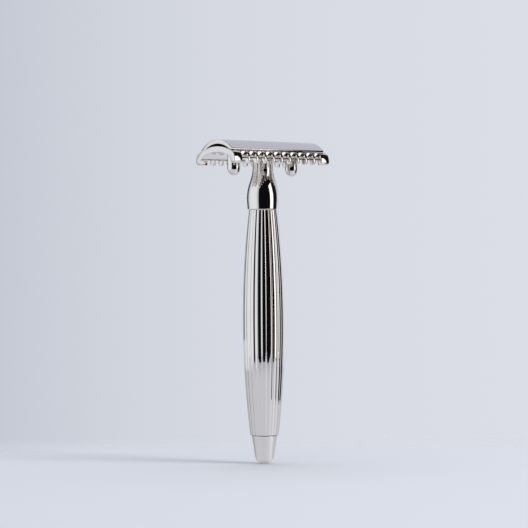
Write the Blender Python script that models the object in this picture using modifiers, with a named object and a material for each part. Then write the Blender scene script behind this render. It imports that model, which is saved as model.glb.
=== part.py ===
"""Open-comb double-edge safety razor, standing on the rounded end of its handle.

Frame: X along the head's long side, -Y the front comb, +Z up, origin on the floor under
the handle's axis. Head: a cap with a threaded stud and two guide pins, and a comb plate,
closed with no blade in it. Handle: a turned neck, a reeded grip, a tie rod, a washer and an
end cap.
"""

import math

import bmesh
import bpy
from mathutils import Matrix, Vector

MM = 0.001

# Fits
FIT = 0.05 * MM  # clearance between two pieces that touch face to face
BORE_FIT = 0.05 * MM  # radial clearance of a spigot, rod or stud in its bore
MERGE = 1e-7

# Heights along the handle
TOTAL_HEIGHT = 119.0 * MM
LOWER_SEAM_Z = 10.3 * MM
WASHER_THICKNESS = 0.1 * MM
UPPER_SEAM_Z = 93.7 * MM

# End cap: a ball nose with a small standing flat, a cone, and a spigot
NOSE_RADIUS = 3.62 * MM
STANDING_FLAT_RADIUS = 1.3 * MM
CONE_HALF_ANGLE = math.radians(10.2)
END_CAP_TOP_RADIUS = 4.78 * MM
RIM_CHAMFER = 0.1 * MM
SPIGOT_RADIUS = 3.45 * MM
SPIGOT_LENGTH = 3.2 * MM

# Grip: a barrel of rounded lengthwise reeds, with a groove between each two
GRIP_MAX_RADIUS = 7.72 * MM  # over the reeds' crests
GRIP_MAX_Z = 52.0 * MM
GRIP_BARREL_RADIUS = 348.0 * MM
GRIP_BORE_RADIUS = SPIGOT_RADIUS + BORE_FIT
REED_COUNT = 21
REED_ROUNDNESS = 0.10 * MM  # how far a reed falls away from its crest to its edge
GROOVE_DEPTH = 0.12 * MM  # below the reed's edge
GROOVE_SHARE = 0.68  # of the pitch
GROOVE_PHASE = math.radians(3.46)  # angle of the first groove from +X
POINTS_PER_REED = 6
GRIP_RINGS = 12
GRIP_END_CHAMFER = 0.1 * MM

# Neck: radius against height, from the upper seam to the collar under the head
NECK_CURVE = (
    (5.82, 93.95),
    (5.91, 95.3),
    (6.02, 96.8),
    (6.03, 98.2),
    (5.93, 99.8),
    (5.62, 101.5),
    (5.14, 103.2),
    (4.64, 104.7),
    (4.20, 106.1),
    (3.93, 107.5),
    (3.81, 109.0),
)
COLLAR_RADIUS = 3.805 * MM
COLLAR_TOP_Z = 114.0 * MM
COLLAR_CHAMFER = 0.25 * MM
STUD_BORE_DEPTH = 7.4 * MM

# Tie rod and stud
TIE_ROD_RADIUS = 2.0 * MM
TIE_ROD_BOTTOM_Z = 6.6 * MM
TIE_ROD_TOP_Z = 97.6 * MM
STUD_RADIUS = 2.5 * MM
STUD_LENGTH = 10.8 * MM
ROD_END_CHAMFER = 0.5 * MM

# Comb plate section, half of it: arcs and curves in the Y-Z plane
PLATE_LENGTH = 42.6 * MM
PLATE_HALF_WIDTH = 12.5 * MM
PLATE_CROWN_Z = 116.5 * MM
PLATE_CROWN_RADIUS = 28.0 * MM
PLATE_CROWN_HALF_WIDTH = 10.0 * MM
PLATE_BOTTOM_Z = 109.95 * MM
TOOTH_NOSE_RADIUS = 4.3 * MM
TOOTH_NOSE_Z = 111.2 * MM
TOOTH_NOSE_ANGLE = math.radians(40)
SHOULDER_REACH = 1.2 * MM
SHOULDER_TUCK = 0.2 * MM
TOOTH_TOE_RADIUS = 1.15 * MM
ARCH_HALF_WIDTH = 10.2 * MM
ARCH_HEIGHT = 4.35 * MM
ARCH_POWER = 2.25
PLATE_CORNER_RADIUS = 1.0 * MM

# Comb slots
TOOTH_PITCH = 3.645 * MM
TOOTH_WIDTH = 1.0 * MM
SLOTS_PER_SIDE = 10
SLOT_ROOT_Y = 10.2 * MM
SLOT_ROOT_ROUND = 1.1 * MM
SLOT_ROOT_ROUND_Z = 113.3 * MM
SLOT_THROAT = 0.2 * MM

# Cap section: an arc over the top, a hollow under the middle, and a seat along each side
# of the hollow, which lies on the plate's crown
CAP_LENGTH = 41.4 * MM
CAP_HALF_WIDTH = 10.0 * MM
CAP_SEAT_HALF_WIDTH = 9.6 * MM  # the cap's edge is cut square to its top
CAP_TOP_RADIUS = 15.6 * MM
CAP_HOLLOW_Z = 117.4 * MM
CAP_HOLLOW_HALF_WIDTH = 7.7 * MM
CAP_SOCKET_DEPTH = 0.85 * MM

# Guide pins
PIN_SPACING = 26.1 * MM
PIN_RADIUS = 2.4 * MM
PIN_SHOULDER_Z = 108.7 * MM
PIN_TIP_Z = 105.95 * MM
PIN_HOLE_RADIUS = 2.55 * MM
STUD_HOLE_RADIUS = 2.9 * MM

# The plate's crown and the cap's seats share one centre line
CROWN_CENTRE_Z = PLATE_CROWN_Z - PLATE_CROWN_RADIUS
CAP_SEAT_RADIUS = PLATE_CROWN_RADIUS + FIT

# How finely round shapes are divided
ROUND_STEPS = 40
PIN_STEPS = 32
BORE_STEPS = 24
CORNER_SEGMENTS = 5
NOSE_SEGMENTS = 9
SHOULDER_SEGMENTS = 5
TOOTH_NOSE_SEGMENTS = 5
ARCH_SEGMENTS = 14
PLATE_CROWN_SEGMENTS = 16
CAP_TOP_SEGMENTS = 24
CAP_HOLLOW_SEGMENTS = 10
CAP_SEAT_SEGMENTS = 4
NECK_SPAN_SEGMENTS = 3
SHARP_ANGLE = math.radians(32)

NICKEL = ("polished_nickel", (0.83, 0.81, 0.78, 1.0), 0.05, 1.0)
BRASS = ("turned_brass", (0.75, 0.58, 0.30, 1.0), 0.30, 1.0)
SEAL = ("seam_washer_black", (0.03, 0.03, 0.03, 1.0), 0.60, 0.0)


# ---------------------------------------------------------------- scene and materials


def clear_scene():
    for obj in list(bpy.data.objects):
        bpy.data.objects.remove(obj, do_unlink=True)


def new_collection(name):
    collection = bpy.data.collections.new(name)
    bpy.context.scene.collection.children.link(collection)
    return collection


def material(spec):
    name, colour, roughness, metallic = spec
    made = bpy.data.materials.get(name)
    if made:
        return made
    made = bpy.data.materials.new(name)
    made.use_nodes = True
    shader = made.node_tree.nodes["Principled BSDF"]
    shader.inputs["Base Color"].default_value = colour
    shader.inputs["Roughness"].default_value = roughness
    shader.inputs["Metallic"].default_value = metallic
    return made


def add_part(name, mesh, spec, parent=None):
    part = bpy.data.objects.new(name, mesh)
    mesh.materials.append(material(spec))
    PARTS.objects.link(part)
    if parent:
        part.parent = parent
        part.matrix_parent_inverse = parent.matrix_world.inverted()
    return part


def add_cutter(name, mesh):
    cutter = bpy.data.objects.new(name, mesh)
    CUTTERS.objects.link(cutter)
    cutter.hide_render = True
    cutter.display_type = "WIRE"
    return cutter


def add_boolean(part, cutter, operation):
    cut = part.modifiers.new(cutter.name, "BOOLEAN")
    cut.operation = operation
    cut.solver = "EXACT"
    cut.object = cutter


def add_pivot(name, height):
    pivot = bpy.data.objects.new(name, None)
    pivot.location = (0, 0, height)
    PARTS.objects.link(pivot)
    bpy.context.view_layer.update()
    return pivot


# ---------------------------------------------------------------- outlines


def arc(centre_a, centre_b, radius, start, end, segments):
    """Points of an arc from one angle to another, both ends included."""
    points = []
    for i in range(segments + 1):
        angle = start + (end - start) * i / segments
        points.append((centre_a + radius * math.cos(angle), centre_b + radius * math.sin(angle)))
    return points


def crown(half_width, top_z, radius, segments):
    """A shallow arc over the Y axis, from -half_width to +half_width."""
    half_angle = math.asin(half_width / radius)
    right_angle = math.pi / 2
    return arc(0, top_z - radius, radius, right_angle + half_angle, right_angle - half_angle, segments)


def cubic(p0, p1, p2, p3, segments):
    """Points of a cubic Bezier after its start, with its end."""
    points = []
    for i in range(1, segments + 1):
        t = i / segments
        s = 1 - t
        weights = (s**3, 3 * s * s * t, 3 * s * t * t, t**3)
        corners = (p0, p1, p2, p3)
        points.append(tuple(sum(w * p[k] for w, p in zip(weights, corners)) for k in (0, 1)))
    return points


def through(points, per_span):
    """A Catmull-Rom curve through the points, both ends included."""
    padded = [points[0], *points, points[-1]]
    curve = [points[0]]
    for i in range(len(points) - 1):
        before, start, end, after = padded[i : i + 4]
        for j in range(1, per_span + 1):
            t = j / per_span
            curve.append(
                tuple(
                    0.5
                    * (
                        2 * start[k]
                        + (end[k] - before[k]) * t
                        + (2 * before[k] - 5 * start[k] + 4 * end[k] - after[k]) * t * t
                        + (3 * start[k] - before[k] - 3 * end[k] + after[k]) * t**3
                    )
                    for k in (0, 1)
                )
            )
    return curve


def mirrored(half):
    """A closed outline from its +Y half, listed from the crown down to the inside."""
    return half + [(-y, z) for y, z in reversed(half)]


# ---------------------------------------------------------------- solids


def turned_mesh(name, profile):
    """A profile of (radius, z) points, which a Screw modifier turns about Z."""
    mesh = bpy.data.meshes.new(name)
    points = [(radius, 0, z) for radius, z in profile]
    edges = [(i, i + 1) for i in range(len(points) - 1)]
    mesh.from_pydata(points, edges, [])
    return mesh


def turned_part(name, profile, spec, parent=None, steps=ROUND_STEPS):
    part = add_part(name, turned_mesh(name, profile), spec, parent)
    screw = part.modifiers.new("turn", "SCREW")
    screw.axis = "Z"
    screw.steps = steps
    screw.render_steps = steps
    screw.use_merge_vertices = True
    screw.merge_threshold = MERGE
    screw.use_smooth_shade = True
    add_sharp_edges(part)
    return part


def add_sharp_edges(part):
    part.data.shade_smooth()
    part.data.set_sharp_from_angle(angle=SHARP_ANGLE)


def prism(bm, outline, axis, start, end):
    """Extrudes an outline along X or Y. The outline's points are (Y, Z) or (X, Z)."""
    place = {"X": lambda a, b: (start, a, b), "Y": lambda a, b: (a, start, b)}[axis]
    travel = {"X": (end - start, 0, 0), "Y": (0, end - start, 0)}[axis]
    face = bm.faces.new([bm.verts.new(place(a, b)) for a, b in outline])
    swept = bmesh.ops.extrude_face_region(bm, geom=[face])
    moved = [item for item in swept["geom"] if isinstance(item, bmesh.types.BMVert)]
    bmesh.ops.translate(bm, verts=moved, vec=Vector(travel))


def cylinder(bm, radius, bottom_z, top_z, x=0.0, segments=ROUND_STEPS):
    middle = Matrix.Translation((x, 0, (bottom_z + top_z) / 2))
    bmesh.ops.create_cone(
        bm,
        cap_ends=True,
        segments=segments,
        radius1=radius,
        radius2=radius,
        depth=top_z - bottom_z,
        matrix=middle,
    )


def mesh_from(bm, name):
    bmesh.ops.recalc_face_normals(bm, faces=bm.faces)
    mesh = bpy.data.meshes.new(name)
    bm.to_mesh(mesh)
    bm.free()
    return mesh


# ---------------------------------------------------------------- handle


def nose_profile():
    """The end cap's outside from its cone's top down to the standing flat."""
    sagitta = NOSE_RADIUS - math.sqrt(NOSE_RADIUS**2 - STANDING_FLAT_RADIUS**2)
    centre_z = NOSE_RADIUS - sagitta
    flat_angle = -math.acos(STANDING_FLAT_RADIUS / NOSE_RADIUS)
    ball = arc(0, centre_z, NOSE_RADIUS, -CONE_HALF_ANGLE, flat_angle, NOSE_SEGMENTS)
    return [*ball, (0, 0)]


def make_end_cap():
    rim_z = LOWER_SEAM_Z - RIM_CHAMFER
    bore = TIE_ROD_RADIUS + BORE_FIT
    spigot_top = LOWER_SEAM_Z + SPIGOT_LENGTH
    bore_end = TIE_ROD_BOTTOM_Z - FIT
    profile = [
        (0, bore_end),
        (bore, bore_end),
        (bore, spigot_top),
        (SPIGOT_RADIUS, spigot_top),
        (SPIGOT_RADIUS, LOWER_SEAM_Z),
        (END_CAP_TOP_RADIUS - RIM_CHAMFER, LOWER_SEAM_Z),
        (END_CAP_TOP_RADIUS, rim_z),
        *nose_profile(),
    ]
    turned_part("end_cap", profile, NICKEL)


def make_seam_washer():
    bottom = LOWER_SEAM_Z + FIT
    top = bottom + WASHER_THICKNESS
    inner = SPIGOT_RADIUS + BORE_FIT
    outer = END_CAP_TOP_RADIUS - RIM_CHAMFER
    profile = [(inner, top), (outer, top), (outer, bottom), (inner, bottom), (inner, top)]
    turned_part("seam_washer", profile, SEAL)


def barrel_radius(z):
    drop = GRIP_BARREL_RADIUS - math.sqrt(GRIP_BARREL_RADIUS**2 - (z - GRIP_MAX_Z) ** 2)
    return GRIP_MAX_RADIUS - drop


def reed_fall(across):
    """How far the outside lies below a reed's crest, at a share of the pitch from a groove."""
    aside = min(across, 1 - across)
    fall = REED_ROUNDNESS * (1 - 2 * aside) ** 2
    if aside < GROOVE_SHARE / 2:
        fall += GROOVE_DEPTH * (1 + math.cos(2 * math.pi * aside / GROOVE_SHARE)) / 2
    return fall


def reeded_ring(bm, z, inset):
    crest = barrel_radius(z) - inset
    ring = []
    for i in range(REED_COUNT * POINTS_PER_REED):
        fall = reed_fall((i % POINTS_PER_REED) / POINTS_PER_REED)
        radius = crest * (1 - fall / GRIP_MAX_RADIUS)
        angle = GROOVE_PHASE + 2 * math.pi * i / (REED_COUNT * POINTS_PER_REED)
        ring.append(bm.verts.new((radius * math.cos(angle), radius * math.sin(angle), z)))
    return ring


def make_grip():
    """A loft of reeded rings up the barrel, with a plain bore."""
    bottom = LOWER_SEAM_Z + WASHER_THICKNESS + 2 * FIT
    top = UPPER_SEAM_Z
    low = bottom + GRIP_END_CHAMFER
    heights = [low + (top - low) * i / (GRIP_RINGS - 1) for i in range(GRIP_RINGS)]
    bm = bmesh.new()
    rings = [reeded_ring(bm, bottom, GRIP_END_CHAMFER)]
    rings += [reeded_ring(bm, z, 0) for z in heights]
    count = len(rings[0])
    for lower, upper in zip(rings, rings[1:]):
        for i in range(count):
            j = (i + 1) % count
            bm.faces.new((lower[i], lower[j], upper[j], upper[i]))
    bm.faces.new(list(reversed(rings[0])))
    bm.faces.new(rings[-1])
    part = add_part("grip", mesh_from(bm, "grip"), NICKEL)
    add_sharp_edges(part)

    bore = bmesh.new()
    cylinder(bore, GRIP_BORE_RADIUS, bottom - MM, top + MM, segments=BORE_STEPS)
    add_boolean(part, add_cutter("grip_bore", mesh_from(bore, "grip_bore")), "DIFFERENCE")


def make_tie_rod():
    tip = TIE_ROD_RADIUS - ROD_END_CHAMFER
    profile = [
        (0, TIE_ROD_TOP_Z),
        (tip, TIE_ROD_TOP_Z),
        (TIE_ROD_RADIUS, TIE_ROD_TOP_Z - ROD_END_CHAMFER),
        (TIE_ROD_RADIUS, TIE_ROD_BOTTOM_Z + ROD_END_CHAMFER),
        (tip, TIE_ROD_BOTTOM_Z),
        (0, TIE_ROD_BOTTOM_Z),
    ]
    turned_part("tie_rod", profile, BRASS, steps=BORE_STEPS)


def make_neck():
    seam = UPPER_SEAM_Z + FIT
    spigot_bottom = UPPER_SEAM_Z - SPIGOT_LENGTH
    stud_bore = STUD_RADIUS + BORE_FIT
    rod_bore = TIE_ROD_RADIUS + BORE_FIT
    stud_bore_end = COLLAR_TOP_Z - STUD_BORE_DEPTH
    rod_bore_end = TIE_ROD_TOP_Z + FIT
    curve = through([(r * MM, z * MM) for r, z in NECK_CURVE], NECK_SPAN_SEGMENTS)
    profile = [
        (0, stud_bore_end),
        (stud_bore, stud_bore_end),
        (stud_bore, COLLAR_TOP_Z),
        (COLLAR_RADIUS - COLLAR_CHAMFER, COLLAR_TOP_Z),
        (COLLAR_RADIUS, COLLAR_TOP_Z - COLLAR_CHAMFER),
        *reversed(curve),
        (curve[0][0] - RIM_CHAMFER, seam),
        (SPIGOT_RADIUS, seam),
        (SPIGOT_RADIUS, spigot_bottom),
        (rod_bore, spigot_bottom),
        (rod_bore, rod_bore_end),
        (0, rod_bore_end),
    ]
    turned_part("neck", profile, NICKEL)


# ---------------------------------------------------------------- head


def plate_outline():
    crown_points = crown(PLATE_CROWN_HALF_WIDTH, PLATE_CROWN_Z, PLATE_CROWN_RADIUS, PLATE_CROWN_SEGMENTS)
    crown_half = crown_points[len(crown_points) // 2 + 1 :]
    start = crown_half[-1]
    fall = math.asin(PLATE_CROWN_HALF_WIDTH / PLATE_CROWN_RADIUS)
    nose_y = PLATE_HALF_WIDTH - TOOTH_NOSE_RADIUS
    nose = arc(nose_y, TOOTH_NOSE_Z, TOOTH_NOSE_RADIUS, TOOTH_NOSE_ANGLE, 0, TOOTH_NOSE_SEGMENTS)
    tuck = SHOULDER_TUCK * math.sin(TOOTH_NOSE_ANGLE), SHOULDER_TUCK * math.cos(TOOTH_NOSE_ANGLE)
    shoulder = cubic(
        start,
        (start[0] + SHOULDER_REACH * math.cos(fall), start[1] - SHOULDER_REACH * math.sin(fall)),
        (nose[0][0] - tuck[0], nose[0][1] + tuck[1]),
        nose[0],
        SHOULDER_SEGMENTS,
    )
    toe_y = PLATE_HALF_WIDTH - TOOTH_TOE_RADIUS
    toe_z = PLATE_BOTTOM_Z + TOOTH_TOE_RADIUS
    toe = arc(toe_y, toe_z, TOOTH_TOE_RADIUS, 0, -math.pi / 2, CORNER_SEGMENTS)
    half = [*crown_half, *shoulder, *nose[1:], *toe, *arch_curve(ARCH_SEGMENTS)]
    return mirrored(half)


def arch_curve(segments):
    """The hollow underside, from its foot to just beside the middle: a superellipse quarter."""
    points = []
    for i in range(segments):
        angle = (math.pi / 2) * (i / segments)
        y = ARCH_HALF_WIDTH * math.cos(angle) ** (2 / ARCH_POWER)
        z = PLATE_BOTTOM_Z + ARCH_HEIGHT * math.sin(angle) ** (2 / ARCH_POWER)
        points.append((y, z))
    return points


def slot_outline(side):
    """The section that one slot takes out of the comb, open to the outside and below."""
    inner_y = SLOT_ROOT_Y - SLOT_ROOT_ROUND
    lip = arc(inner_y, SLOT_ROOT_ROUND_Z, SLOT_ROOT_ROUND, 0, -math.pi / 2, CORNER_SEGMENTS)
    high = PLATE_CROWN_Z + MM
    low = PLATE_BOTTOM_Z - MM
    far = PLATE_HALF_WIDTH + MM
    throat = inner_y - SLOT_THROAT
    outline = [(SLOT_ROOT_Y, high), *lip, (throat, lip[-1][1]), (throat, low), (far, low), (far, high)]
    return [(side * y, z) for y, z in outline]


def rounded_block(half_length, low, high, radius):
    """An X-Z outline with rounded lower corners."""
    right = arc(half_length - radius, low + radius, radius, -math.pi / 2, 0, CORNER_SEGMENTS)
    left = arc(-half_length + radius, low + radius, radius, math.pi, 1.5 * math.pi, CORNER_SEGMENTS)
    return [*right, (half_length, high), (-half_length, high), *left]


def make_comb_plate(pivot):
    bm = bmesh.new()
    half = PLATE_LENGTH / 2
    prism(bm, plate_outline(), "X", -half - MM, half + MM)
    part = add_part("comb_plate", mesh_from(bm, "comb_plate"), NICKEL, pivot)
    add_sharp_edges(part)

    ends = bmesh.new()
    block = rounded_block(half, PLATE_BOTTOM_Z, PLATE_CROWN_Z + MM, PLATE_CORNER_RADIUS)
    prism(ends, block, "Y", -PLATE_HALF_WIDTH - MM, PLATE_HALF_WIDTH + MM)
    add_boolean(part, add_cutter("plate_ends", mesh_from(ends, "plate_ends")), "INTERSECT")

    slots = bmesh.new()
    slot_half = (TOOTH_PITCH - TOOTH_WIDTH) / 2
    for k in range(SLOTS_PER_SIDE):
        centre = (k - (SLOTS_PER_SIDE - 1) / 2) * TOOTH_PITCH
        for side in (-1, 1):
            prism(slots, slot_outline(side), "X", centre - slot_half, centre + slot_half)
    low = PLATE_BOTTOM_Z
    high = PLATE_CROWN_Z + MM
    cylinder(slots, STUD_HOLE_RADIUS, low, high)
    for side in (-1, 1):
        cylinder(slots, PIN_HOLE_RADIUS, low, high, side * PIN_SPACING / 2)
    add_boolean(part, add_cutter("comb_slots", mesh_from(slots, "comb_slots")), "DIFFERENCE")


def cap_underside():
    """From -Y to +Y: a seat on the crown's curve, the hollow, and the other seat."""
    right_angle = math.pi / 2
    rim_angle = math.asin(CAP_SEAT_HALF_WIDTH / CAP_SEAT_RADIUS)
    lip_angle = math.asin(CAP_HOLLOW_HALF_WIDTH / CAP_SEAT_RADIUS)
    outer, inner = right_angle + rim_angle, right_angle + lip_angle
    seat = arc(0, CROWN_CENTRE_Z, CAP_SEAT_RADIUS, outer, inner, CAP_SEAT_SEGMENTS)
    depth = CAP_HOLLOW_Z - seat[-1][1]
    hollow_radius = (CAP_HOLLOW_HALF_WIDTH**2 + depth**2) / (2 * depth)
    hollow = crown(CAP_HOLLOW_HALF_WIDTH, CAP_HOLLOW_Z, hollow_radius, CAP_HOLLOW_SEGMENTS)
    other_seat = [(-y, z) for y, z in reversed(seat)]
    return [*seat, *hollow[1:-1], *other_seat]


def make_cap(pivot):
    """A curved bar with three blind sockets in its hollow side."""
    top = crown(CAP_HALF_WIDTH, TOTAL_HEIGHT, CAP_TOP_RADIUS, CAP_TOP_SEGMENTS)
    bm = bmesh.new()
    prism(bm, [*top, *reversed(cap_underside())], "X", -CAP_LENGTH / 2, CAP_LENGTH / 2)
    part = add_part("cap", mesh_from(bm, "cap"), NICKEL, pivot)
    add_sharp_edges(part)

    sockets = bmesh.new()
    socket_top = CAP_HOLLOW_Z + CAP_SOCKET_DEPTH
    cylinder(sockets, STUD_RADIUS + BORE_FIT, PLATE_CROWN_Z, socket_top)
    for side in (-1, 1):
        cylinder(sockets, PIN_RADIUS + BORE_FIT, PLATE_CROWN_Z, socket_top, side * PIN_SPACING / 2)
    add_boolean(part, add_cutter("cap_sockets", mesh_from(sockets, "cap_sockets")), "DIFFERENCE")


def make_cap_stud(pivot):
    top = CAP_HOLLOW_Z + CAP_SOCKET_DEPTH - FIT
    bottom = top - STUD_LENGTH
    profile = [
        (0, top),
        (STUD_RADIUS, top),
        (STUD_RADIUS, bottom + ROD_END_CHAMFER),
        (STUD_RADIUS - ROD_END_CHAMFER, bottom),
        (0, bottom),
    ]
    turned_part("cap_stud", profile, NICKEL, pivot, steps=PIN_STEPS)


def pin_profile():
    """A straight shank and a pointed nose whose side is an arc tangent to the shank."""
    top = CAP_HOLLOW_Z + CAP_SOCKET_DEPTH - FIT
    length = PIN_SHOULDER_Z - PIN_TIP_Z
    side_radius = (length**2 + PIN_RADIUS**2) / (2 * PIN_RADIUS)
    tip_angle = math.asin(length / side_radius)
    nose = arc(PIN_RADIUS - side_radius, PIN_SHOULDER_Z, side_radius, 0, -tip_angle, NOSE_SEGMENTS)
    return [(0, top), (PIN_RADIUS, top), *nose[:-1], (0, PIN_TIP_Z)]


def make_guide_pins(pivot):
    for side, name in ((-1, "guide_pin_left"), (1, "guide_pin_right")):
        pin = turned_part(name, pin_profile(), NICKEL, pivot, steps=PIN_STEPS)
        pin.location.x = side * PIN_SPACING / 2


# ---------------------------------------------------------------- the razor

clear_scene()
PARTS = new_collection("safety_razor")
CUTTERS = new_collection("cutters")

make_end_cap()
make_seam_washer()
make_grip()
make_tie_rod()
make_neck()

head_pivot = add_pivot("head_turn_axis", COLLAR_TOP_Z)
make_comb_plate(head_pivot)
make_cap(head_pivot)
make_cap_stud(head_pivot)
make_guide_pins(head_pivot)
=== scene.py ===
"""Looks for the open-comb safety razor: finer meshes, procedural metals, studio and camera."""

import math

import bmesh
import bpy
from mathutils import Matrix, Vector


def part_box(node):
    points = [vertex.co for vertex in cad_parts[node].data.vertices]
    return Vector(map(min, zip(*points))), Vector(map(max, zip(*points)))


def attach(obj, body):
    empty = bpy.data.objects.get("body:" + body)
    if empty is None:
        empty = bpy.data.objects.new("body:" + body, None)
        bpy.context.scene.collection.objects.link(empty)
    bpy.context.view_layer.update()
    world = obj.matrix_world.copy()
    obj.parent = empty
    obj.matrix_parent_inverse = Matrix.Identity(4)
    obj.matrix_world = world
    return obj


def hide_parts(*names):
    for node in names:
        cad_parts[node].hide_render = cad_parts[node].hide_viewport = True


MM = 0.001
RIGHT_ANGLE = math.pi / 2

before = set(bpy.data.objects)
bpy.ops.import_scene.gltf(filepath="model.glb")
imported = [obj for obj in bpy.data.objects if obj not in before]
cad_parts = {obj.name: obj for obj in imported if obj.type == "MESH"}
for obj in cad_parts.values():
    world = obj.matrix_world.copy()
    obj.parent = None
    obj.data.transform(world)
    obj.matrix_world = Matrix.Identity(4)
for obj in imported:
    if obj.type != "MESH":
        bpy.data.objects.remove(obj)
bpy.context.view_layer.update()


# ---------------------------------------------------------------- measures from the frame


def low(node):
    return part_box(node)[0]


def high(node):
    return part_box(node)[1]


TOP_Z = high("cap").z
CAP_HALF_LENGTH = high("cap").x
CAP_HALF_WIDTH = high("cap").y
PLATE_HALF_LENGTH = high("comb_plate").x
PLATE_HALF_WIDTH = high("comb_plate").y
PLATE_BOTTOM_Z = low("comb_plate").z
PLATE_CROWN_Z = high("comb_plate").z
PIN_X = (low("guide_pin_right").x + high("guide_pin_right").x) / 2
PIN_RADIUS = high("guide_pin_right").y
PIN_TIP_Z = low("guide_pin_right").z
SOCKET_TOP_Z = high("guide_pin_right").z
STUD_BOTTOM_Z = low("cap_stud").z
STUD_RADIUS = high("cap_stud").y
COLLAR_TOP_Z = high("neck").z
GRIP_TOP_Z = high("grip").z
GRIP_BOTTOM_Z = low("grip").z
WASHER_BOTTOM_Z = low("seam_washer").z
WASHER_TOP_Z = high("seam_washer").z
END_CAP_RADIUS = high("end_cap").x
SPIGOT_TOP_Z = high("end_cap").z
NECK_SPIGOT_Z = low("neck").z
FIT = 0.05 * MM  # clearance between neighbouring pieces


# ---------------------------------------------------------------- outlines

CORNER_POINTS = 4  # along each softened corner
GENTLE_BEND = math.radians(35)  # bends below this are left alone
CORNER_SHARE = 0.45  # of a side that a corner's softening may take


def arc(centre_a, centre_b, radius, start, end, segments):
    """Points of an arc from one angle to another, both ends included."""
    points = []
    for i in range(segments + 1):
        angle = start + (end - start) * i / segments
        points.append((centre_a + radius * math.cos(angle), centre_b + radius * math.sin(angle)))
    return points


def crown(half_width, top_z, radius, segments):
    """A shallow arc over the Y axis, from -half_width to +half_width."""
    half_angle = math.asin(half_width / radius)
    return arc(0, top_z - radius, radius, RIGHT_ANGLE + half_angle, RIGHT_ANGLE - half_angle, segments)


def cubic(p0, p1, p2, p3, segments):
    """Points of a cubic Bezier after its start, with its end."""
    points = []
    for i in range(1, segments + 1):
        t = i / segments
        s = 1 - t
        weights = (s**3, 3 * s * s * t, 3 * s * t * t, t**3)
        points.append(tuple(sum(w * p[k] for w, p in zip(weights, (p0, p1, p2, p3))) for k in (0, 1)))
    return points


def through(points, per_span):
    """A Catmull-Rom curve through the points, both ends included."""
    padded = [points[0], *points, points[-1]]
    curve = [points[0]]
    for i in range(len(points) - 1):
        a, b, c, d = padded[i : i + 4]
        for j in range(1, per_span + 1):
            t = j / per_span
            curve.append(
                tuple(
                    0.5
                    * (
                        2 * b[k]
                        + (c[k] - a[k]) * t
                        + (2 * a[k] - 5 * b[k] + 4 * c[k] - d[k]) * t * t
                        + (3 * b[k] - a[k] - 3 * c[k] + d[k]) * t**3
                    )
                    for k in (0, 1)
                )
            )
    return curve


def softened(points, radius):
    """Rounds the sharp corners of an open outline, and leaves its gentle bends alone."""
    done = [points[0]]
    for before, here, after in zip(points, points[1:], points[2:]):
        a, b, c = Vector(before), Vector(here), Vector(after)
        into, out = a - b, c - b
        turn = math.pi - into.angle(out, math.pi)
        if turn < GENTLE_BEND:
            done.append(here)
            continue
        reach = min(radius * math.tan(turn / 2), CORNER_SHARE * into.length, CORNER_SHARE * out.length)
        start, end = b + into.normalized() * reach, b + out.normalized() * reach
        for i in range(CORNER_POINTS + 1):
            t = i / CORNER_POINTS
            p = start * (1 - t) ** 2 + b * 2 * t * (1 - t) + end * t * t
            done.append((p.x, p.y))
    return [*done, points[-1]]


# ---------------------------------------------------------------- mesh makers


def finish_mesh(bm, name, sharp=38):
    """Turns bm into a piece, smooth but for edges sharper than so many degrees."""
    bmesh.ops.recalc_face_normals(bm, faces=bm.faces)
    mesh = bpy.data.meshes.new(name)
    bm.to_mesh(mesh)
    bm.free()
    mesh.shade_smooth()
    mesh.set_sharp_from_angle(angle=math.radians(sharp))
    piece = bpy.data.objects.new(name, mesh)
    bpy.context.scene.collection.objects.link(piece)
    return piece


def add_ring(bm, radii, z, phase=0.0, centre_x=0.0):
    """A level ring of points, evenly spaced in angle, with a radius for each."""
    ring = []
    for i, radius in enumerate(radii):
        angle = phase + 2 * math.pi * i / len(radii)
        ring.append(bm.verts.new((centre_x + radius * math.cos(angle), radius * math.sin(angle), z)))
    return ring


def bridge(bm, first, second):
    """Faces between two rings, either of which may be a single point on the axis."""
    count = max(len(first), len(second))
    for i in range(count):
        j = (i + 1) % count
        if len(first) == 1:
            bm.faces.new((first[0], second[i], second[j]))
        elif len(second) == 1:
            bm.faces.new((first[i], first[j], second[0]))
        else:
            bm.faces.new((first[i], first[j], second[j], second[i]))


def turned(name, profile, segments=192, centre_x=0.0):
    """Revolves a profile of (radius, z) points, closed or ending on the axis, about an upright axis."""
    bm = bmesh.new()
    rings = []
    for radius, z in profile:
        if radius == 0:
            rings.append([bm.verts.new((centre_x, 0, z))])
        else:
            rings.append(add_ring(bm, [radius] * segments, z, centre_x=centre_x))
    for first, second in zip(rings, rings[1:]):
        bridge(bm, first, second)
    if len(rings[0]) > 1:
        bridge(bm, rings[-1], rings[0])
    return finish_mesh(bm, name)


def prism(bm, outline, axis, start, end):
    """Extrudes an outline along X or Y. The outline's points are (Y, Z) or (X, Z)."""
    place = {"X": lambda a, b: (start, a, b), "Y": lambda a, b: (a, start, b)}[axis]
    travel = {"X": (end - start, 0, 0), "Y": (0, end - start, 0)}[axis]
    face = bm.faces.new([bm.verts.new(place(a, b)) for a, b in outline])
    swept = bmesh.ops.extrude_face_region(bm, geom=[face])
    moved = [item for item in swept["geom"] if isinstance(item, bmesh.types.BMVert)]
    bmesh.ops.translate(bm, verts=moved, vec=Vector(travel))


def cylinder(bm, radius, bottom_z, top_z, x=0.0):
    bmesh.ops.create_cone(
        bm,
        cap_ends=True,
        segments=96,
        radius1=radius,
        radius2=radius,
        depth=top_z - bottom_z,
        matrix=Matrix.Translation((x, 0, (bottom_z + top_z) / 2)),
    )


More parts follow.
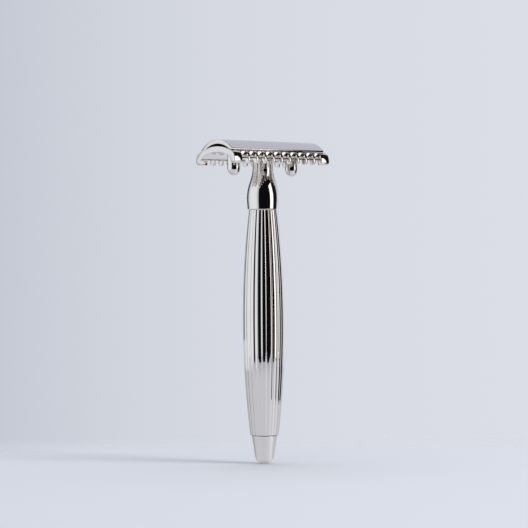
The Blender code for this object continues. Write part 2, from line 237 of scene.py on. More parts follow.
def carve(piece, bm, operation="DIFFERENCE"):
    """Applies a Boolean with a solid made in bm, and throws the cutter away."""
    bmesh.ops.recalc_face_normals(bm, faces=bm.faces)
    mesh = bpy.data.meshes.new("cutter")
    bm.to_mesh(mesh)
    bm.free()
    cutter = bpy.data.objects.new("cutter", mesh)
    bpy.context.scene.collection.objects.link(cutter)
    change = piece.modifiers.new("carve", "BOOLEAN")
    change.operation = operation
    change.solver = "EXACT"
    change.object = cutter
    apply_modifiers(piece)
    bpy.data.objects.remove(cutter, do_unlink=True)


def apply_modifiers(piece):
    bpy.context.view_layer.update()
    graph = bpy.context.evaluated_depsgraph_get()
    mesh = bpy.data.meshes.new_from_object(piece.evaluated_get(graph))
    piece.modifiers.clear()
    piece.data = mesh


def round_edges(piece, width):
    """Softens the hard edges of a piece, as polishing does."""
    bevel = piece.modifiers.new("round", "BEVEL")
    bevel.width = width
    bevel.segments = 3
    bevel.limit_method = "ANGLE"
    bevel.angle_limit = math.radians(32)
    bevel.use_clamp_overlap = False
    bevel.miter_outer = "MITER_ARC"
    bevel.harden_normals = False
    apply_modifiers(piece)
    piece.data.shade_smooth()
    piece.data.set_sharp_from_angle(angle=math.radians(40))


# ---------------------------------------------------------------- handle pieces

NOSE_RADIUS = 3.62 * MM  # the ball at the end of the handle
STANDING_FLAT_RADIUS = 1.3 * MM
CONE_HALF_ANGLE = math.radians(10.2)
SPIGOT_RADIUS = 3.45 * MM
ROD_BORE = 2.05 * MM
END_BORE_Z = 6.55 * MM
LOWER_SEAM_Z = WASHER_BOTTOM_Z - FIT
BARREL_WAIST_Z = 52.0 * MM
BARREL_RADIUS = 348.0 * MM  # of the lengthwise curve
GRIP_RADIUS = 7.72 * MM  # over the reeds
GRIP_END_CHAMFER = 0.12 * MM
REEDS = 21
REED_ROUNDNESS = 0.10 * MM
GROOVE_DEPTH = 0.135 * MM
GROOVE_SHARE = 0.68  # of the pitch
GROOVE_PHASE = math.radians(3.46)
POINTS_PER_REED = 20
GRIP_RINGS = 120
NECK_CURVE = (  # radius and height in mm
    (5.82, 93.95),
    (5.91, 95.3),
    (6.02, 96.8),
    (6.03, 98.2),
    (5.93, 99.8),
    (5.62, 101.5),
    (5.14, 103.2),
    (4.64, 104.7),
    (4.20, 106.1),
    (3.93, 107.5),
    (3.81, 109.0),
)
COLLAR_RADIUS = 3.805 * MM
COLLAR_DEPTH = 2.0 * MM
COLLAR_ROUNDING = 0.3 * MM
STUD_BORE_DEPTH = 7.4 * MM


def make_end_cap():
    """A plain cone that ends in a ball, cut flat where the razor stands."""
    sagitta = NOSE_RADIUS - math.sqrt(NOSE_RADIUS**2 - STANDING_FLAT_RADIUS**2)
    flat_angle = -math.acos(STANDING_FLAT_RADIUS / NOSE_RADIUS)
    ball = arc(0, NOSE_RADIUS - sagitta, NOSE_RADIUS, -CONE_HALF_ANGLE, flat_angle, 40)
    rim = [(SPIGOT_RADIUS, LOWER_SEAM_Z), (END_CAP_RADIUS, LOWER_SEAM_Z), ball[0]]
    profile = [
        (0, END_BORE_Z),
        (ROD_BORE, END_BORE_Z),
        (ROD_BORE, SPIGOT_TOP_Z),
        (SPIGOT_RADIUS, SPIGOT_TOP_Z),
        *softened(rim, 0.10 * MM),
        *ball[1:],
        (0, 0),
    ]
    return turned("end_cap_turned", profile)


def make_seam_washer():
    inner, outer = SPIGOT_RADIUS + FIT, high("seam_washer").x
    top, bottom = WASHER_TOP_Z, WASHER_BOTTOM_Z
    square = [(inner, top), (outer, top), (outer, bottom), (inner, bottom)]
    return turned("seam_washer_ring", softened(square, 0.02 * MM), 128)


def barrel_radius(z):
    drop = BARREL_RADIUS - math.sqrt(BARREL_RADIUS**2 - (z - BARREL_WAIST_Z) ** 2)
    return GRIP_RADIUS - drop


def reed_fall(across):
    """How far the outside lies below a reed's crest, at a share of the pitch from a groove."""
    aside = min(across, 1 - across)
    fall = REED_ROUNDNESS * (1 - 2 * aside) ** 2
    if aside < GROOVE_SHARE / 2:
        fall += GROOVE_DEPTH * (1 + math.cos(2 * math.pi * aside / GROOVE_SHARE)) / 2
    return fall


def make_grip():
    """A barrel of reeded rings with a plain bore and softened ends."""
    count = REEDS * POINTS_PER_REED
    end = GRIP_END_CHAMFER
    lead = [(0.0, end), (0.3 * end, 0.3 * end), (end, 0.0)]
    heights = [(GRIP_BOTTOM_Z + rise, inset) for rise, inset in lead]
    span = GRIP_TOP_Z - GRIP_BOTTOM_Z - 2 * end
    heights += [(GRIP_BOTTOM_Z + end + span * i / GRIP_RINGS, 0.0) for i in range(1, GRIP_RINGS)]
    heights += [(GRIP_TOP_Z - rise, inset) for rise, inset in reversed(lead)]
    shares = [1 - reed_fall((i % POINTS_PER_REED) / POINTS_PER_REED) / GRIP_RADIUS for i in range(count)]
    bm = bmesh.new()
    rings = []
    for z, inset in heights:
        crest = barrel_radius(z) - inset
        rings.append(add_ring(bm, [crest * share for share in shares], z, GROOVE_PHASE))
    for z in (GRIP_TOP_Z, GRIP_BOTTOM_Z):
        rings.append(add_ring(bm, [SPIGOT_RADIUS + FIT] * count, z, GROOVE_PHASE))
    for lower, upper in zip(rings, [*rings[1:], rings[0]]):
        bridge(bm, lower, upper)
    return finish_mesh(bm, "grip_reeded", sharp=40)


def make_neck():
    seam = GRIP_TOP_Z + FIT
    stud_bore = STUD_RADIUS + FIT
    stud_bore_end = COLLAR_TOP_Z - STUD_BORE_DEPTH
    rod_end = high("tie_rod").z + FIT
    curve = through([(r * MM, z * MM) for r, z in NECK_CURVE], 12)
    collar = [
        (stud_bore + 0.25 * MM, COLLAR_TOP_Z),
        (COLLAR_RADIUS, COLLAR_TOP_Z),
        (COLLAR_RADIUS, COLLAR_TOP_Z - COLLAR_DEPTH),
    ]
    foot = curve[0][0]
    lip = softened([curve[0], (foot - 0.02 * MM, seam), (SPIGOT_RADIUS, seam)], 0.03 * MM)
    profile = [
        (0, stud_bore_end),
        (stud_bore, stud_bore_end),
        (stud_bore, COLLAR_TOP_Z - 0.3 * MM),
        *softened(collar, COLLAR_ROUNDING),
        *reversed(curve),
        *lip[1:],
        (SPIGOT_RADIUS, NECK_SPIGOT_Z),
        (ROD_BORE, NECK_SPIGOT_Z),
        (ROD_BORE, rod_end),
        (0, rod_end),
    ]
    return turned("neck_turned", profile)


# ---------------------------------------------------------------- head pieces

PLATE_CROWN_RADIUS = 28.0 * MM
PLATE_CROWN_HALF_WIDTH = 10.0 * MM
TOOTH_NOSE_RADIUS = 4.3 * MM
TOOTH_NOSE_Z = 111.2 * MM
TOOTH_NOSE_ANGLE = math.radians(40)
SHOULDER_REACH = 1.2 * MM  # the shoulder curve's handle at the crown
SHOULDER_TUCK = 0.2 * MM  # and at the nose
TOOTH_TOE_RADIUS = 1.15 * MM
ARCH_HALF_WIDTH = 10.2 * MM
ARCH_HEIGHT = 4.35 * MM
ARCH_POWER = 2.25  # fuller than an ellipse, whose power is 2
PLATE_CORNER_RADIUS = 1.0 * MM
TOOTH_PITCH = 3.645 * MM
TOOTH_WIDTH = 1.0 * MM
SLOTS_PER_SIDE = 10
SLOT_ROOT_Y = 10.2 * MM  # the slot's inner end, at the top
SLOT_ROOT_ROUND = 1.1 * MM  # it rounds inwards below
SLOT_ROOT_ROUND_Z = 113.3 * MM
SLOT_THROAT = 0.2 * MM  # a short step under the rounding
CAP_TOP_RADIUS = 15.6 * MM
CAP_HOLLOW_Z = 117.4 * MM
CAP_HOLLOW_HALF_WIDTH = 7.7 * MM
CAP_SEAT_HALF_WIDTH = 9.6 * MM
CROWN_CENTRE_Z = PLATE_CROWN_Z - PLATE_CROWN_RADIUS
CAP_SEAT_RADIUS = PLATE_CROWN_RADIUS + FIT
PIN_HOLE_RADIUS = 2.55 * MM
STUD_HOLE_RADIUS = 2.9 * MM
PIN_SHOULDER_Z = 108.7 * MM
THREAD_PITCH = 0.8 * MM
THREAD_DEPTH = 0.43 * MM
PLATE_EDGE_ROUNDING = 0.18 * MM
CAP_EDGE_ROUNDING = 0.18 * MM


def plate_outline():
    """The plate's section: crown, shoulders, tooth noses and toes, and the arch below."""
    points = crown(PLATE_CROWN_HALF_WIDTH, PLATE_CROWN_Z, PLATE_CROWN_RADIUS, 40)
    half = points[len(points) // 2 + 1 :]
    start = half[-1]
    fall = math.asin(PLATE_CROWN_HALF_WIDTH / PLATE_CROWN_RADIUS)
    nose_y = PLATE_HALF_WIDTH - TOOTH_NOSE_RADIUS
    nose = arc(nose_y, TOOTH_NOSE_Z, TOOTH_NOSE_RADIUS, TOOTH_NOSE_ANGLE, 0, 20)
    tuck = SHOULDER_TUCK * math.sin(TOOTH_NOSE_ANGLE), SHOULDER_TUCK * math.cos(TOOTH_NOSE_ANGLE)
    shoulder = cubic(
        start,
        (start[0] + SHOULDER_REACH * math.cos(fall), start[1] - SHOULDER_REACH * math.sin(fall)),
        (nose[0][0] - tuck[0], nose[0][1] + tuck[1]),
        nose[0],
        16,
    )
    toe = arc(
        PLATE_HALF_WIDTH - TOOTH_TOE_RADIUS,
        PLATE_BOTTOM_Z + TOOTH_TOE_RADIUS,
        TOOTH_TOE_RADIUS,
        0,
        -RIGHT_ANGLE,
        12,
    )
    arch = []
    for i in range(44):
        angle = RIGHT_ANGLE * i / 44
        y = ARCH_HALF_WIDTH * math.cos(angle) ** (2 / ARCH_POWER)
        z = PLATE_BOTTOM_Z + ARCH_HEIGHT * math.sin(angle) ** (2 / ARCH_POWER)
        arch.append((y, z))
    side = [*half, *shoulder, *nose[1:], *toe, *arch]
    return side + [(-y, z) for y, z in reversed(side)]


def slot_outline(side):
    """The section cut away between two teeth: its root drops, rounds inwards and drops again."""
    inner_y = SLOT_ROOT_Y - SLOT_ROOT_ROUND
    lip = arc(inner_y, SLOT_ROOT_ROUND_Z, SLOT_ROOT_ROUND, 0, -RIGHT_ANGLE, 12)
    top, bottom, far = PLATE_CROWN_Z + MM, PLATE_BOTTOM_Z - MM, PLATE_HALF_WIDTH + MM
    throat = inner_y - SLOT_THROAT
    outline = [(SLOT_ROOT_Y, top), *lip, (throat, lip[-1][1]), (throat, bottom), (far, bottom), (far, top)]
    return [(side * y, z) for y, z in outline]


def rounded_block(half_length, bottom, top, radius):
    """The plate seen from the front, with its two lower corners rounded."""
    right = arc(half_length - radius, bottom + radius, radius, -RIGHT_ANGLE, 0, 12)
    left = arc(-half_length + radius, bottom + radius, radius, math.pi, 1.5 * math.pi, 12)
    return [*right, (half_length, top), (-half_length, top), *left]


def make_comb_plate():
    bm = bmesh.new()
    prism(bm, plate_outline(), "X", -PLATE_HALF_LENGTH - MM, PLATE_HALF_LENGTH + MM)
    piece = finish_mesh(bm, "comb_plate_polished")
    ends = bmesh.new()
    block = rounded_block(PLATE_HALF_LENGTH, PLATE_BOTTOM_Z, PLATE_CROWN_Z + MM, PLATE_CORNER_RADIUS)
    prism(ends, block, "Y", -PLATE_HALF_WIDTH - MM, PLATE_HALF_WIDTH + MM)
    carve(piece, ends, "INTERSECT")
    slots = bmesh.new()
    slot_half = (TOOTH_PITCH - TOOTH_WIDTH) / 2
    for k in range(SLOTS_PER_SIDE):
        centre = (k - (SLOTS_PER_SIDE - 1) / 2) * TOOTH_PITCH
        for side in (-1, 1):
            prism(slots, slot_outline(side), "X", centre - slot_half, centre + slot_half)
    carve(piece, slots)
    holes = bmesh.new()
    cylinder(holes, STUD_HOLE_RADIUS, PLATE_BOTTOM_Z, PLATE_CROWN_Z + MM)
    for side in (-1, 1):
        cylinder(holes, PIN_HOLE_RADIUS, PLATE_BOTTOM_Z, PLATE_CROWN_Z + MM, side * PIN_X)
    carve(piece, holes)
    round_edges(piece, PLATE_EDGE_ROUNDING)
    return piece


def cap_underside():
    """From -Y to +Y: a seat on the crown's curve, the hollow, and the other seat."""
    rim_angle = math.asin(CAP_SEAT_HALF_WIDTH / CAP_SEAT_RADIUS)
    lip_angle = math.asin(CAP_HOLLOW_HALF_WIDTH / CAP_SEAT_RADIUS)
    seat = arc(0, CROWN_CENTRE_Z, CAP_SEAT_RADIUS, RIGHT_ANGLE + rim_angle, RIGHT_ANGLE + lip_angle, 12)
    depth = CAP_HOLLOW_Z - seat[-1][1]
    hollow_radius = (CAP_HOLLOW_HALF_WIDTH**2 + depth**2) / (2 * depth)
    hollow = crown(CAP_HOLLOW_HALF_WIDTH, CAP_HOLLOW_Z, hollow_radius, 32)
    return [*seat, *hollow[1:-1], *((-y, z) for y, z in reversed(seat))]


def make_cap():
    top = crown(CAP_HALF_WIDTH, TOP_Z, CAP_TOP_RADIUS, 96)
    bm = bmesh.new()
    prism(bm, [*top, *reversed(cap_underside())], "X", -CAP_HALF_LENGTH, CAP_HALF_LENGTH)
    piece = finish_mesh(bm, "cap_polished")
    sockets = bmesh.new()
    cylinder(sockets, STUD_RADIUS + FIT, PLATE_CROWN_Z, SOCKET_TOP_Z + FIT)
    for side in (-1, 1):
        cylinder(sockets, PIN_RADIUS + FIT, PLATE_CROWN_Z, SOCKET_TOP_Z + FIT, side * PIN_X)
    carve(piece, sockets)
    round_edges(piece, CAP_EDGE_ROUNDING)
    return piece


def pin_profile():
    """A straight shank and a pointed nose whose side is an arc tangent to the shank."""
    length = PIN_SHOULDER_Z - PIN_TIP_Z
    side_radius = (length**2 + PIN_RADIUS**2) / (2 * PIN_RADIUS)
    tip_angle = math.asin(length / side_radius)
    nose = arc(PIN_RADIUS - side_radius, PIN_SHOULDER_Z, side_radius, 0, -tip_angle, 32)
    return [(0, SOCKET_TOP_Z), (PIN_RADIUS, SOCKET_TOP_Z), *nose[:-1], (0, PIN_TIP_Z)]


def make_pin(side, name):
    return turned(name, pin_profile(), 128, side * PIN_X)


def thread_radius(z, angle, bottom, top):
    """Radius of the right-hand thread at a height and angle. It fades out at both ends."""
    wave = abs(((z / THREAD_PITCH - angle / (2 * math.pi)) % 1.0) * 2 - 1)
    run_out = 0.6 * THREAD_PITCH
    fade = min(1.0, max(0.0, (z - bottom) / run_out), max(0.0, (top - z) / run_out))
    slope = min(1.0, max(0.0, 1.25 * wave - 0.1))  # flat on crest and root
    return STUD_RADIUS - THREAD_DEPTH * slope * fade


def make_stud():
    """The stud with its helical thread below the plate and a plain shank above."""
    segments, rings_per_turn = 64, 12
    thread_top = COLLAR_TOP_Z + MM
    threaded = thread_top - STUD_BOTTOM_Z
    steps = int(threaded / (THREAD_PITCH / rings_per_turn))
    bm = bmesh.new()
    rings = [[bm.verts.new((0, 0, STUD_BOTTOM_Z))]]
    for z in [*(STUD_BOTTOM_Z + threaded * i / steps for i in range(steps + 1)), SOCKET_TOP_Z]:
        radii = [STUD_RADIUS] * segments
        if z < thread_top:
            lead = min(0.0, z - STUD_BOTTOM_Z - 0.5 * MM)
            angles = [2 * math.pi * i / segments for i in range(segments)]
            radii = [thread_radius(z, angle, STUD_BOTTOM_Z, thread_top) + lead for angle in angles]
        rings.append(add_ring(bm, radii, z))
    rings.append([bm.verts.new((0, 0, SOCKET_TOP_Z))])
    for first, second in zip(rings, rings[1:]):
        bridge(bm, first, second)
    return finish_mesh(bm, "cap_stud_threaded", sharp=30)


# ---------------------------------------------------------------- materials


class Nodes:
    """A short way to build a node tree."""

    def __init__(self, tree):
        self.tree = tree

    def add(self, kind, inputs=None, **settings):
        node = self.tree.nodes.new(kind)
        for key, value in settings.items():
            setattr(node, key, value)
        for key, value in (inputs or {}).items():
            if isinstance(value, bpy.types.NodeSocket):
                self.tree.links.new(value, node.inputs[key])
            else:
                node.inputs[key].default_value = value
        return node

    def link(self, source, target):
        self.tree.links.new(source, target)

    def position(self):
        return self.add("ShaderNodeTexCoord").outputs["Object"]

    def noise(self, vector, scale, detail=3.0, roughness=0.55):
        inputs = {"Vector": vector, "Scale": scale, "Detail": detail, "Roughness": roughness}
        return self.add("ShaderNodeTexNoise", inputs).outputs["Fac"]

    def stretch(self, vector, scale):
        return self.add("ShaderNodeMapping", {"Vector": vector, "Scale": scale}).outputs["Vector"]

    def remap(self, value, from_low, from_high, to_low, to_high):
        inputs = {
            "Value": value,
            "From Min": from_low,
            "From Max": from_high,
            "To Min": to_low,
            "To Max": to_high,
        }
        return self.add("ShaderNodeMapRange", inputs).outputs["Result"]

    def ramp(self, value, stops):
        node = self.add("ShaderNodeValToRGB", {"Fac": value})
        elements = node.color_ramp.elements
        for end, (place, colour) in ((elements[0], stops[0]), (elements[1], stops[-1])):
            end.position = place
            end.color = (*colour, 1.0)
        for place, colour in stops[1:-1]:
            elements.new(place).color = (*colour, 1.0)
        return node.outputs["Color"]

    def smooth_step(self, value, start, end):
        inputs = {"Value": value, "From Min": start, "From Max": end}
        return self.add("ShaderNodeMapRange", inputs, interpolation_type="SMOOTHSTEP").outputs["Result"]

    def calculate(self, operation, a, b):
        return self.add("ShaderNodeMath", {0: a, 1: b}, operation=operation).outputs["Value"]

    def along(self, vector, direction):
        """How far a vector reaches in a direction."""
        inputs = {0: vector, 1: tuple(direction)}
        return self.add("ShaderNodeVectorMath", inputs, operation="DOT_PRODUCT").outputs["Value"]

    def length(self, vector):
        return self.add("ShaderNodeVectorMath", {0: vector}, operation="LENGTH").outputs["Value"]

    def bump(self, height, strength, distance):
        inputs = {"Height": height, "Strength": strength, "Distance": distance}
        return self.add("ShaderNodeBump", inputs).outputs["Normal"]


class Finish(Nodes):
    """The node tree of a new material, with its Principled shader."""

    def __init__(self, name):
        self.material = bpy.data.materials.new(name)
        self.material.use_nodes = True
        super().__init__(self.material.node_tree)
        self.shader = self.tree.nodes["Principled BSDF"]
        self.output = self.tree.nodes["Material Output"]

    def colour(self, value, stops):
        self.link(self.ramp(value, stops), self.shader.inputs["Base Color"])

    def roughness(self, value, from_low, from_high, to_low, to_high):
        self.link(self.remap(value, from_low, from_high, to_low, to_high), self.shader.inputs["Roughness"])

    def relief(self, height, strength, distance):
        self.link(self.bump(height, strength, distance), self.shader.inputs["Normal"])


class Glow(Nodes):
    """A material that only glows, and isn't sampled as a lamp."""

    def __init__(self, name):
        self.material = bpy.data.materials.new(name)
        self.material.use_nodes = True
        self.material.cycles.emission_sampling = "NONE"
        super().__init__(self.material.node_tree)
        self.tree.nodes.remove(self.tree.nodes["Principled BSDF"])

    def shine(self, **inputs):
        emission = self.add("ShaderNodeEmission", inputs).outputs["Emission"]
        self.link(emission, self.tree.nodes["Material Output"].inputs["Surface"])
        return self.material


NICKEL = (0.855, 0.805, 0.76)


def polished_nickel(name, line_scale):
    """Nickel plate polished bright: faint polishing lines, haze and a slow warm drift in colour."""
    n = Finish(name)
    place = n.position()
    pale = tuple(c * 1.01 for c in NICKEL)
    deep = tuple(c * k for c, k in zip(NICKEL, (0.985, 0.982, 0.978)))
    n.colour(n.noise(place, 140, 2.0), [(0.35, pale), (0.65, deep)])
    n.roughness(n.noise(place, 420, 4.0, 0.6), 0.3, 0.75, 0.010, 0.022)
    n.relief(n.noise(n.stretch(place, line_scale), 1.0, 2.0), 0.004, 0.02 * MM)
    n.shader.inputs["Metallic"].default_value = 1.0
    return n.material


def turned_brass():
    """Plain brass with the fine rings that a lathe leaves."""
    n = Finish("brass_turned")
    rings = n.noise(n.stretch(n.position(), (60, 60, 7000)), 1.0, 2.0)
    n.colour(rings, [(0.3, (0.66, 0.48, 0.22)), (0.7, (0.80, 0.63, 0.34))])
    n.roughness(rings, 0.3, 0.7, 0.22, 0.4)
    n.relief(rings, 0.2, 0.04 * MM)
    n.shader.inputs["Metallic"].default_value = 1.0
    return n.material


def seal_black():
    """A matte black ring with a fine speckle."""
    n = Finish("seal_black")
    speckle = n.noise(n.position(), 3000, 3.0)
    n.colour(speckle, [(0.3, (0.012, 0.012, 0.013)), (0.7, (0.035, 0.034, 0.034))])
    n.roughness(speckle, 0.3, 0.7, 0.45, 0.7)
    n.relief(speckle, 0.3, 0.03 * MM)
    return n.material


# ---------------------------------------------------------------- putting the razor together


def stand_in(piece, node, body, material):
    """Puts a finished piece in the place of a CAD node."""
    piece.data.materials.clear()
    piece.data.materials.append(material)
    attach(piece, body)
    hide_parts(node)


def dress(node, material):
    """Gives a CAD node that keeps its shape a finished material."""
    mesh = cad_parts[node].data
    mesh.materials.clear()
    mesh.materials.append(material)


ring_lines = polished_nickel("nickel_turned", (40, 40, 2600))
long_lines = polished_nickel("nickel_long", (80, 2600, 2600))
reed_lines = polished_nickel("nickel_reeded", (1800, 1800, 60))

stand_in(make_end_cap(), "end_cap", "handle", ring_lines)
stand_in(make_seam_washer(), "seam_washer", "handle", seal_black())
stand_in(make_grip(), "grip", "handle", reed_lines)
stand_in(make_neck(), "neck", "handle", ring_lines)
stand_in(make_comb_plate(), "comb_plate", "plate", long_lines)
stand_in(make_cap(), "cap", "cap_assembly", long_lines)
stand_in(make_stud(), "cap_stud", "cap_assembly", ring_lines)
for side, name in ((-1, "guide_pin_left"), (1, "guide_pin_right")):
    stand_in(make_pin(side, name + "_turned"), name, "cap_assembly", ring_lines)
dress("tie_rod", turned_brass())


# ---------------------------------------------------------------- camera

CAMERA_AZIMUTH = math.radians(-35.342)
CAMERA_ELEVATION = math.radians(-0.342)
CAMERA_ROLL = math.radians(-0.360)
CAMERA_DISTANCE = 885.93 * MM
TARGET_SIDE = 0.2 * MM
TARGET_Z = 73.584 * MM
LENS_MM = 163.636

away = Vector(
    (
        math.sin(CAMERA_AZIMUTH) * math.cos(CAMERA_ELEVATION),
        -math.cos(CAMERA_AZIMUTH) * math.cos(CAMERA_ELEVATION),
        math.sin(CAMERA_ELEVATION),
    )
)
level_right = (-away).cross(Vector((0, 0, 1))).normalized()
level_up = level_right.cross(-away)
camera_right = math.cos(CAMERA_ROLL) * level_right + math.sin(CAMERA_ROLL) * level_up
camera_up = -math.sin(CAMERA_ROLL) * level_right + math.cos(CAMERA_ROLL) * level_up


def make_camera():
    data = bpy.data.cameras.new("photo_camera")
    data.sensor_width = 36.0
    data.lens = LENS_MM
    data.clip_start = 0.05
    data.clip_end = 20.0
    camera = bpy.data.objects.new("photo_camera", data)
    bpy.context.scene.collection.objects.link(camera)
    target = Vector((0, 0, TARGET_Z)) + camera_right * TARGET_SIDE
    turn = Matrix((camera_right, camera_up, away)).transposed()
    camera.matrix_world = Matrix.Translation(target + away * CAMERA_DISTANCE) @ turn.to_4x4()
    bpy.context.scene.camera = camera


make_camera()


# ---------------------------------------------------------------- studio

TOWARDS = Vector((away.x, away.y, 0)).normalized()  # from the razor to the camera, level
ACROSS = Vector((level_right.x, level_right.y, 0)).normalized()  # to the camera's right
WHITE = (1.0, 1.0, 1.0)


def studio_point(degrees, distance, z):
    """A point round the razor: 0 degrees towards the camera, positive to the camera's right."""
    angle = math.radians(degrees)
    flat = TOWARDS * math.cos(angle) + ACROSS * math.sin(angle)
    return Vector((flat.x * distance, flat.y * distance, z))


def glowing(name, colour):
    """A glow whose brightness is stored in the mesh, so that a card can fade along its width."""
    n = Glow(name)
    level = n.add("ShaderNodeAttribute", attribute_name="level").outputs["Fac"]
    return n.shine(Color=(*colour, 1.0), Strength=level)


def sheet(name, corners, material, camera=False, glossy=True, diffuse=False):
    """A flat part of the studio, which casts no shadow."""
    mesh = bpy.data.meshes.new(name)
    mesh.from_pydata([tuple(c) for c in corners], [], [tuple(range(len(corners)))])
    mesh.materials.append(material)
    made = bpy.data.objects.new(name, mesh)
    bpy.context.scene.collection.objects.link(made)
    made.visible_camera = camera
    made.visible_glossy = glossy
    made.visible_diffuse = diffuse
    made.visible_shadow = False
    made.visible_transmission = False


def level_at(levels, direction):
    """Brightness at a direction, from a list of (degrees, brightness) in rising order."""
    for (start, low_level), (end, high_level) in zip(levels, levels[1:]):
        if direction <= end:
            return low_level + (high_level - low_level) * (direction - start) / (end - start)
    return levels[-1][1]


def card(name, levels, distance, bottom, top, colour=WHITE, lean=0):
    """A curved card round the razor, seen only in reflections. Its top leans by some degrees."""
    start, end = levels[0][0], levels[-1][0]
    steps = int(end - start)
    verts, faces, glow = [], [], []
    for i in range(steps + 1):
        direction = start + (end - start) * i / steps
        verts.append(tuple(studio_point(direction, distance, bottom)))
        verts.append(tuple(studio_point(direction + lean, distance, top)))
        glow += [level_at(levels, direction)] * 2
    for i in range(steps):
        faces.append((2 * i, 2 * i + 2, 2 * i + 3, 2 * i + 1))
    mesh = bpy.data.meshes.new(name)
    mesh.from_pydata(verts, [], faces)
    mesh.attributes.new("level", "FLOAT", "POINT").data.foreach_set("value", glow)
    mesh.materials.append(glowing(name, colour))
    made = bpy.data.objects.new(name, mesh)
    bpy.context.scene.collection.objects.link(made)
    made.visible_camera = False
    made.visible_diffuse = False
    made.visible_shadow = False


def area_light(name, place, aim, size, power):
    """A square lamp that lights the floor and shows in nothing."""
    data = bpy.data.lights.new(name, "AREA")
    data.shape = "RECTANGLE"
    data.size = data.size_y = size
    data.energy = power
    light = bpy.data.objects.new(name, data)
    bpy.context.scene.collection.objects.link(light)
    light.location = place
    light.rotation_mode = "QUATERNION"
    light.rotation_quaternion = (Vector(aim) - Vector(place)).to_track_quat("-Z", "Y")
    light.visible_glossy = False
    light.visible_camera = False


def linear(*display):
    """A display colour from 0 to 255 as scene-linear."""
    shares = [c / 255 for c in display]
    return tuple(c / 12.92 if c <= 0.04045 else ((c + 0.055) / 1.055) ** 2.4 for c in shares)


FLOOR_FRONT = 325 * MM  # where the lit floor ends, as the metal shows it
FLOOR_LEFT = 340 * MM
FLOOR_RIGHT = 394 * MM
FLOOR_DIM_FROM = 200 * MM  # painted shade: it dims from here towards its front edge
FLOOR_FRONT_SHADE_LEVEL = 0.72
CONTACT_SHADOW_LEVEL = 0.62  # painted contact shadow, darkest right under the razor
CONTACT_SHADOW_START, CONTACT_SHADOW_END = 1.3 * MM, 3.5 * MM
HORIZON_START, HORIZON_END = 53 * MM, 153 * MM  # behind the razor, where the seen floor melts away
FLOOR_FADE_START, FLOOR_FADE_END = 350 * MM, 750 * MM  # the same all round
BACKDROP_DISTANCE = 950 * MM
STUDIO_HALF_WIDTH = 1.6
BACKDROP_HALF_SPREAD = 220 * MM  # over which the backdrop's painted light falls off from right to left
BACKDROP_LOW, BACKDROP_HIGH = -0.4, 1.2
ROOM_DARK = (0.0045, 0.0048, 0.0070)
SWEEP_LOW = (0.74, 0.78, 0.86)
SWEEP_HIGH = (0.54, 0.575, 0.68)
PALE = linear(216, 220, 229)
# colour and brightness of the glowing floor's painted light
FLOOR_PAINTED_LIGHT_COLOUR = (1.185, 1.242, 1.396)
FLOOR_PAINTED_LIGHT = (  # painted light and shadow: degrees round the razor, from the camera towards its right, and brightness; a painted pool of light below the softbox and the razor's painted shadow to its left and behind
    (-180, 0.58),
    (-125, 0.34),
    (-86, 0.54),
    (0, 0.52),
    (40, 0.56),
    (68, 0.70),
    (96, 0.50),
    (140, 0.48),
    (180, 0.58),
)
BACKDROP_PAINTED_LIGHT = (  # painted light, falling off to the left: from left to right, as display colours
    (0.0, (196, 200, 211)),
    (0.25, (208, 212, 221)),
    (0.45, (214, 217, 226)),
    (0.70, (217, 220, 229)),
    (1.0, (219, 222, 231)),
)
PANEL_LEVELS = (  # degrees, as for the floor, and brightness
    (-130, 0.20),
    (-112, 0.67),
    (-76, 0.74),
    (-47, 0.72),
    (-42, 0.50),
    (-32, 0.38),
    (-31, 0.0),
)
SOFTBOX_LEVELS = ((53, 0.05), (54, 1.45), (76, 1.45), (79, 0.10))
FLAG_RIGHT_LEVELS = ((79, 0.01), (110, 0.01), (114, 0.5))
FLAG_LEFT_LEVELS = ((-158, 0.07), (-130, 0.05))
PANEL_COLOUR = (1.16, 1.24, 1.34)
SOFTBOX_DISTANCE = 1.166


def make_world():
    """Pale to the camera. In reflections it is a dark room with a grey sweep behind the razor."""
    world = bpy.data.worlds.new("studio")
    bpy.context.scene.world = world
    world.use_nodes = True
    world.node_tree.nodes.clear()
    n = Nodes(world.node_tree)
    direction = n.add("ShaderNodeTexCoord").outputs["Generated"]
    height = n.add("ShaderNodeSeparateXYZ", {"Vector": direction}).outputs["Z"]
    climb = n.remap(height, 0.05, 0.35, 0.0, 1.0)
    sweep = n.add("ShaderNodeMixRGB", {0: climb, 1: (*SWEEP_LOW, 1), 2: (*SWEEP_HIGH, 1)}).outputs["Color"]
    share = n.remap(n.along(direction, -TOWARDS), 0.28, 0.42, 0.0, 1.0)
    room = n.add("ShaderNodeMixRGB", {0: share, 1: (*ROOM_DARK, 1), 2: sweep}).outputs["Color"]
    seen = n.add("ShaderNodeLightPath").outputs["Is Camera Ray"]
    pale = n.add("ShaderNodeBackground", {"Color": (*PALE, 1)}).outputs["Background"]
    dark = n.add("ShaderNodeBackground", {"Color": room}).outputs["Background"]
    mix = n.add("ShaderNodeMixShader", {0: seen, 1: dark, 2: pale}).outputs["Shader"]
    n.add("ShaderNodeOutputWorld", {"Surface": mix})


def seen_floor_material():
    """The floor that the camera sees, which melts into the sweep behind the razor."""
    n = Finish("floor_paper")
    place = n.position()
    n.colour(n.noise(place, 900, 4.0), [(0.3, (0.734, 0.758, 0.813)), (0.7, (0.744, 0.768, 0.823))])
    n.shader.inputs["Roughness"].default_value = 0.9
    n.shader.inputs["Specular IOR Level"].default_value = 0.0
    horizon = n.smooth_step(n.along(place, -TOWARDS), HORIZON_START, HORIZON_END)
    rim = n.smooth_step(n.length(place), FLOOR_FADE_START, FLOOR_FADE_END)
    nothing = n.add("ShaderNodeBsdfTransparent").outputs["BSDF"]
    mix = n.add("ShaderNodeMixShader", {0: n.calculate("MAXIMUM", horizon, rim)})
    n.link(n.shader.outputs["BSDF"], mix.inputs[1])
    n.link(nothing, mix.inputs[2])
    n.link(mix.outputs["Shader"], n.output.inputs["Surface"])
    return n.material


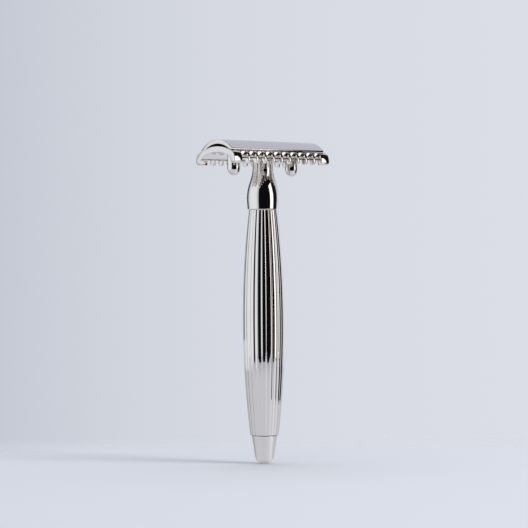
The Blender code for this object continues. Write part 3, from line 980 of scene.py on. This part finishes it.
def mirrored_floor_material():
    """The lit floor as the metal shows it, a glowing sheet of painted light: a painted pool of light below
    the softbox, the razor's painted shadow to its left, a painted contact shadow under its foot, and
    painted shade at its front edge.
    """
    n = Glow("floor_painted_light_in_reflections")
    place = n.position()
    behind = n.along(place, -TOWARDS)
    turn = n.calculate("ARCTAN2", n.along(place, ACROSS), n.calculate("MULTIPLY", behind, -1.0))
    stops = [((degrees + 180) / 360, (level, level, level)) for degrees, level in FLOOR_PAINTED_LIGHT]
    # painted light and shadow round the razor: a pool below the softbox, the razor's shadow to its left
    painted_light_around = n.ramp(n.remap(turn, -math.pi, math.pi, 0.0, 1.0), stops)
    # painted shade towards the floor's front edge
    edge = n.remap(behind, -FLOOR_FRONT, -FLOOR_DIM_FROM, FLOOR_FRONT_SHADE_LEVEL, 1.0)
    # painted contact shadow: the glowing floor darkens right round the razor's foot
    painted_contact_shadow = n.remap(n.length(place), CONTACT_SHADOW_START, CONTACT_SHADOW_END, CONTACT_SHADOW_LEVEL, 1.0)
    level = n.calculate("MULTIPLY", n.calculate("MULTIPLY", painted_light_around, edge), painted_contact_shadow)
    return n.shine(Color=(*FLOOR_PAINTED_LIGHT_COLOUR, 1.0), Strength=level)


def backdrop_material():
    """The far sweep, lit from the right and falling off to the left."""
    n = Glow("backdrop_paper")
    side = n.along(n.position(), ACROSS)
    share = n.remap(side, -BACKDROP_HALF_SPREAD, BACKDROP_HALF_SPREAD, 0.0, 1.0)
    return n.shine(Color=n.ramp(share, [(place, linear(*colour)) for place, colour in BACKDROP_PAINTED_LIGHT]))


def rectangle(near, far, left, right):
    """Floor corners: near and far are distances towards the camera, left and right across it."""
    return [
        TOWARDS * near + ACROSS * left,
        TOWARDS * near + ACROSS * right,
        TOWARDS * far + ACROSS * right,
        TOWARDS * far + ACROSS * left,
    ]


def make_studio():
    make_world()
    seen = rectangle(STUDIO_HALF_WIDTH, -BACKDROP_DISTANCE, -STUDIO_HALF_WIDTH, STUDIO_HALF_WIDTH)
    sheet("floor", seen, seen_floor_material(), camera=True, glossy=False, diffuse=True)
    mirrored = rectangle(FLOOR_FRONT, -BACKDROP_DISTANCE, -FLOOR_LEFT, FLOOR_RIGHT)
    sheet("floor_mirrored", mirrored, mirrored_floor_material())
    foot = -TOWARDS * BACKDROP_DISTANCE
    aside = ACROSS * STUDIO_HALF_WIDTH
    bottom, top = Vector((0, 0, BACKDROP_LOW)), Vector((0, 0, BACKDROP_HIGH))
    wall = [foot - aside + bottom, foot + aside + bottom, foot + aside + top, foot - aside + top]
    sheet("backdrop", wall, backdrop_material(), camera=True, glossy=False)
    card("panel_left", PANEL_LEVELS, distance=1.1, bottom=-0.35, top=0.9, colour=PANEL_COLOUR)
    card("softbox", SOFTBOX_LEVELS, distance=SOFTBOX_DISTANCE, bottom=-0.069, top=0.82, lean=-6)
    card("flag_right", FLAG_RIGHT_LEVELS, distance=0.15, bottom=0.0, top=0.4)
    card("flag_left", FLAG_LEFT_LEVELS, distance=1.2, bottom=0.0, top=0.9)
    area_light("key", studio_point(62, SOFTBOX_DISTANCE, 0.8), aim=(0, 0, 0.06), size=0.55, power=8.2)
    area_light("overhead", (0, 0, 1.3), aim=(0, 0, 0), size=1.6, power=13.6)


make_studio()
bpy.context.scene.view_settings.view_transform = "Standard"
